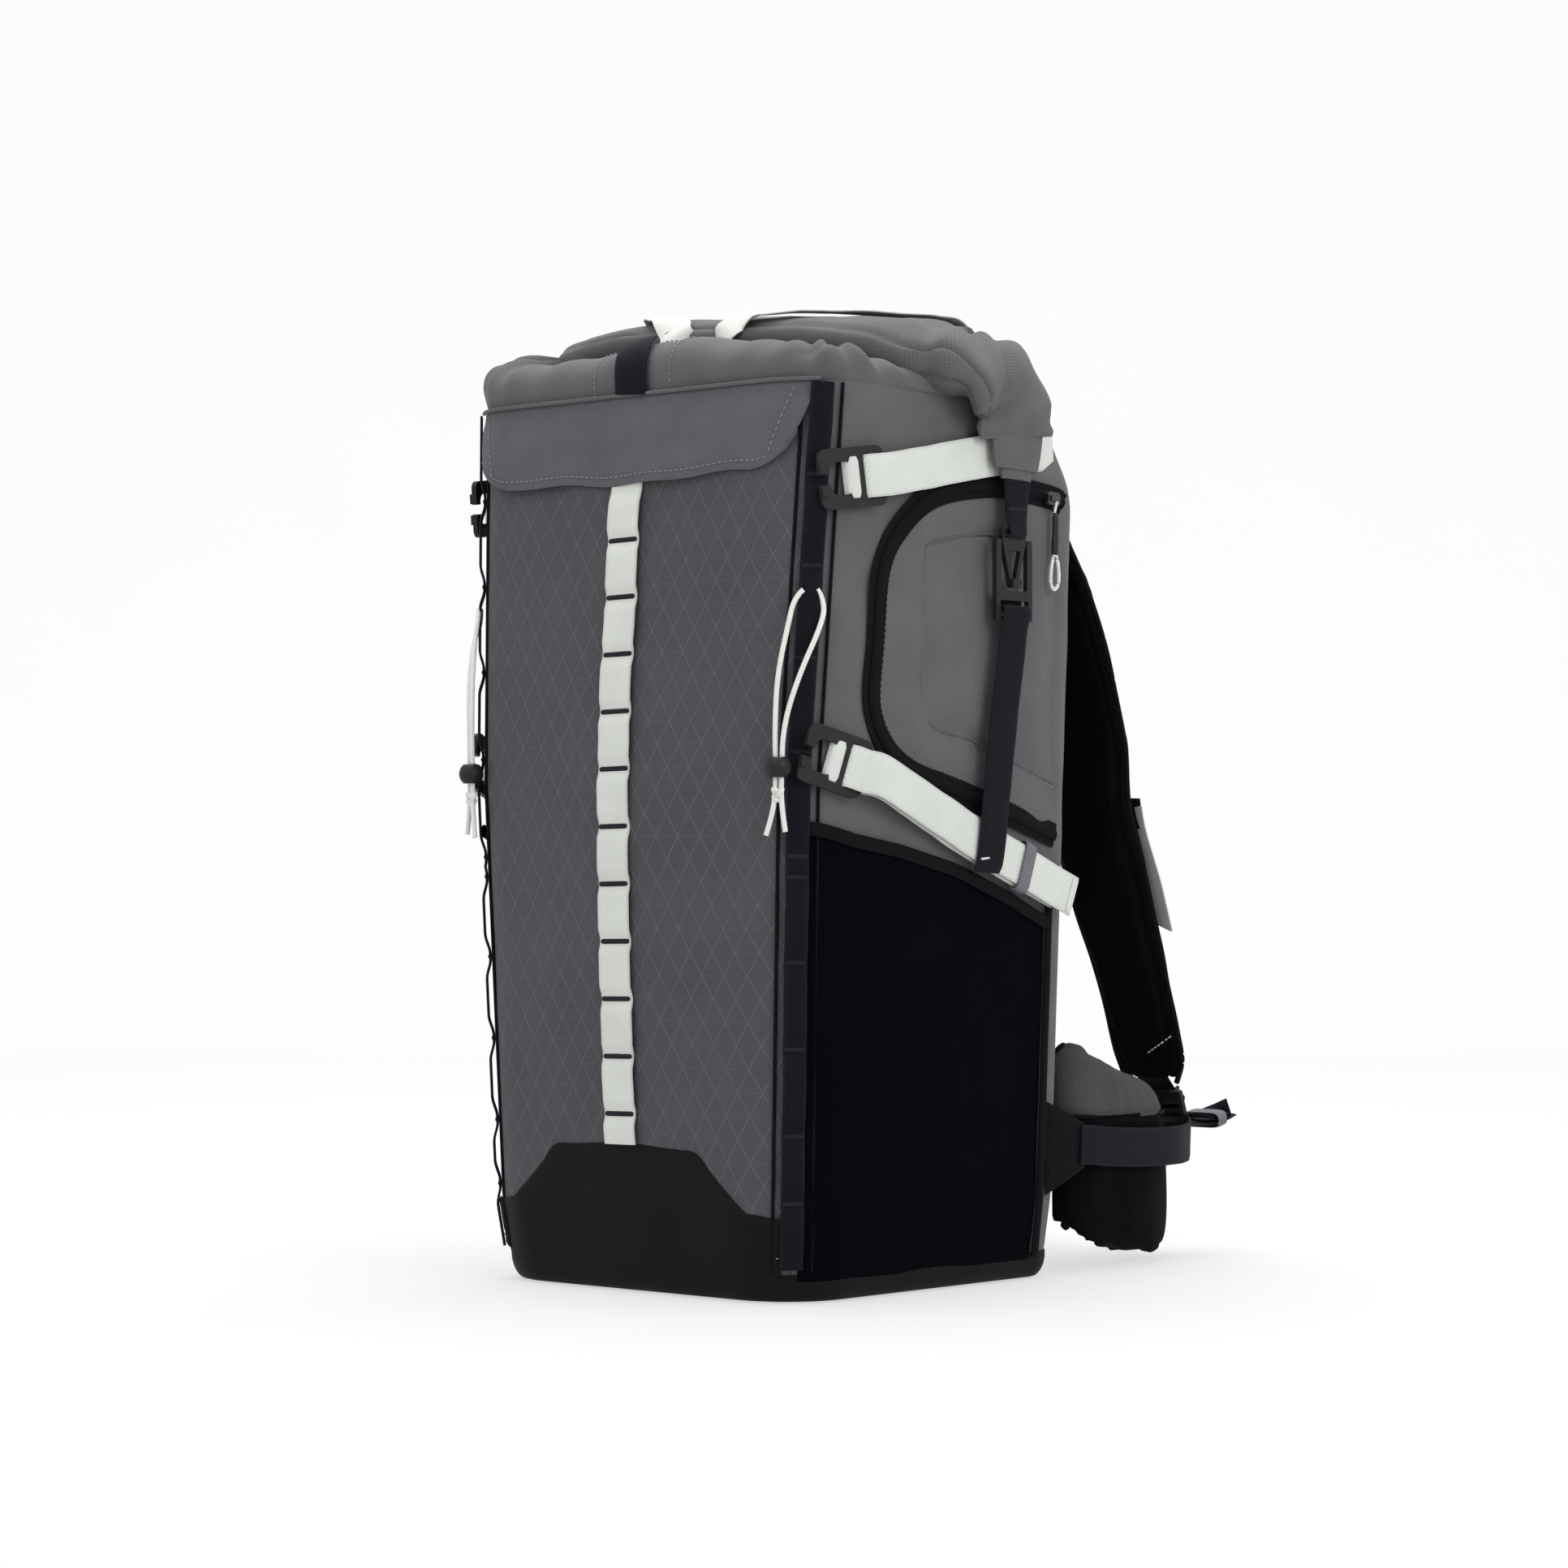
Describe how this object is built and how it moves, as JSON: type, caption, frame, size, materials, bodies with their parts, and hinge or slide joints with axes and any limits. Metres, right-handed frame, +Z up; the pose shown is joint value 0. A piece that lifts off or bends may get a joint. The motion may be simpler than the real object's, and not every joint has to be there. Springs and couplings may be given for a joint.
{
  "type": "hiking backpack",
  "caption": "Roll-top hiking backpack with a front pocket under a short flap, stretch side pockets, webbing straps with plate hooks, padded shoulder straps and hip belt.",
  "frame": {"origin": "centre of the flat base, where the pack stands", "axes": "+Z up the pack, -Y towards the front pocket, +Y towards the wearer, +X towards the side with the access zip"},
  "size_m": [0.329, 0.4743, 0.6018],
  "materials": {
    "grey_fabric": "matte twill",
    "ripstop_fabric": "matte ripstop",
    "coated_base": "satin coated fabric",
    "stretch_fabric": "matte stretch knit",
    "white_webbing": "woven webbing",
    "black_webbing": "woven webbing",
    "hook_plastic": "matte moulded",
    "mesh_padding": "spacer mesh over foam",
    "cord": "braided cord",
    "ball_plastic": "satin",
    "metal": "satin",
    "zip_pull": "cord pull in a soft sleeve",
    "frame_plastic": "smooth sheet",
    "frame_metal": "extruded",
    "lining": "smooth lining"
  },
  "bodies": {
    "pack_body": {"anchor_tabs": "coated_base", "back_pads": "mesh_padding", "back_panel": "grey_fabric", "base_apron": "coated_base", "base_tray": "coated_base", "center_daisy_chain": "white_webbing", "collar": "grey_fabric", "collar_tab": "black_webbing", "cord_knots": "cord", "frame_sheet": "frame_plastic", "frame_stays": "frame_metal", "front_pocket_panel": "ripstop_fabric", "front_wall": "grey_fabric", "laptop_sleeve": "lining", "lower_compression_straps": "white_webbing", "lumbar_pad": "mesh_padding", "roll_buckles": "hook_plastic", "roll_straps": "black_webbing", "shock_cord_left_front": "cord", "shock_cord_left_rear": "cord", "shock_cord_right_front": "cord", "shock_cord_right_rear": "cord", "side_access_panel": "grey_fabric", "side_daisy_chains": "black_webbing", "side_panels": "grey_fabric", "side_zipper_tape": "black_webbing", "strap_keepers": "stretch_fabric", "stretch_pockets": "stretch_fabric", "upper_compression_straps": "white_webbing"},
    "front_flap": {"front_flap": "grey_fabric", "flap_magnets": "metal"},
    "roll_top": {"roll_top": "grey_fabric", "top_v_strap": "white_webbing", "roll_loops": "black_webbing", "roll_hooks": "hook_plastic"},
    "hook_upper_right": {"upper_strap_hook_right": "hook_plastic"},
    "hook_upper_left": {"upper_strap_hook_left": "hook_plastic"},
    "hook_lower_right": {"lower_strap_hook_right": "hook_plastic"},
    "hook_lower_left": {"lower_strap_hook_left": "hook_plastic"},
    "ball_right": {"cord_ball_right": "ball_plastic"},
    "ball_left": {"cord_ball_left": "ball_plastic"},
    "zip_slider": {"zipper_slider": "metal", "zipper_pull": "zip_pull"},
    "strap_right": {"shoulder_strap_right": "mesh_padding", "strap_ladder_lock_right": "hook_plastic", "lower_webbing_right": "black_webbing"},
    "strap_left": {"shoulder_strap_left": "mesh_padding", "strap_ladder_lock_left": "hook_plastic", "lower_webbing_left": "black_webbing"},
    "sternum_right": {"sternum_webbing_right": "white_webbing", "sternum_buckle_right": "hook_plastic"},
    "sternum_left": {"sternum_webbing_left": "white_webbing", "sternum_buckle_left": "hook_plastic"},
    "hip_right": {"hip_wing_right": "mesh_padding", "hip_webbing_right": "black_webbing", "hip_buckle_female": "hook_plastic"},
    "hip_left": {"hip_wing_left": "mesh_padding", "hip_webbing_left": "black_webbing", "hip_buckle_male": "hook_plastic"},
    "haul_loop": {"haul_loop": "black_webbing"}
  },
  "joints": [
    {"name": "flap_lift", "type": "hinge", "parent": "pack_body", "child": "front_flap", "pos_m": [0, -0.119, 0.5323], "axis": [-1, 0, 0], "range_deg": [0, 140]},
    {"name": "roll_open", "type": "slide", "parent": "pack_body", "child": "roll_top", "axis": [0, 0, 1], "range_m": [0, 0.08]},
    {"name": "hook_upper_right_turn", "type": "hinge", "parent": "pack_body", "child": "hook_upper_right", "pos_m": [0.15596, -0.07787, 0.47771], "axis": [-0.0466, -0.1126, 0.9925], "range_deg": [0, 60]},
    {"name": "hook_upper_left_turn", "type": "hinge", "parent": "pack_body", "child": "hook_upper_left", "pos_m": [-0.15596, -0.07787, 0.47771], "axis": [-0.0466, 0.1126, -0.9925], "range_deg": [0, 60]},
    {"name": "hook_lower_right_turn", "type": "hinge", "parent": "pack_body", "child": "hook_lower_right", "pos_m": [0.14917, -0.08607, 0.30891], "axis": [0.1119, 0.2701, 0.9563], "range_deg": [0, 60]},
    {"name": "hook_lower_left_turn", "type": "hinge", "parent": "pack_body", "child": "hook_lower_left", "pos_m": [-0.14917, -0.08607, 0.30891], "axis": [0.1119, -0.2701, -0.9563], "range_deg": [0, 60]},
    {"name": "ball_right_slide", "type": "slide", "parent": "pack_body", "child": "ball_right", "axis": [0, 0, 1], "range_m": [0, 0.008]},
    {"name": "ball_left_slide", "type": "slide", "parent": "pack_body", "child": "ball_left", "axis": [0, 0, 1], "range_m": [0, 0.008]},
    {"name": "zip_run", "type": "slide", "parent": "pack_body", "child": "zip_slider", "axis": [0, -0.9971, 0.0755], "range_m": [0, 0.05]},
    {"name": "strap_right_swing", "type": "hinge", "parent": "pack_body", "child": "strap_right", "pos_m": [0.091, 0.136, 0.503], "axis": [0.1137, 0.0141, -0.9934], "range_deg": [0, 35], "stiffness_Nm_per_rad": 1.5},
    {"name": "strap_left_swing", "type": "hinge", "parent": "pack_body", "child": "strap_left", "pos_m": [-0.091, 0.136, 0.503], "axis": [0.1137, -0.0141, 0.9934], "range_deg": [0, 35], "stiffness_Nm_per_rad": 1.5},
    {"name": "hip_right_swing", "type": "hinge", "parent": "pack_body", "child": "hip_right", "pos_m": [0.125, 0.1364, 0.08], "axis": [0, 0, 1], "range_deg": [0, 10], "stiffness_Nm_per_rad": 2},
    {"name": "hip_left_swing", "type": "hinge", "parent": "pack_body", "child": "hip_left", "pos_m": [-0.125, 0.1364, 0.08], "axis": [0, 0, -1], "range_deg": [0, 10], "stiffness_Nm_per_rad": 2},
    {"name": "sternum_right_slide", "type": "slide", "parent": "strap_right", "child": "sternum_right", "axis": [0, 0.3576, -0.9339], "range_m": [0, 0.02]},
    {"name": "sternum_left_slide", "type": "slide", "parent": "strap_left", "child": "sternum_left", "axis": [0, 0.3576, -0.9339], "range_m": [0, 0.02]},
    {"name": "haul_loop_fold", "type": "hinge", "parent": "pack_body", "child": "haul_loop", "pos_m": [0, 0.1347, 0.5083], "axis": [-1, 0, 0], "range_deg": [0, 70], "stiffness_Nm_per_rad": 0.05}
  ]
}
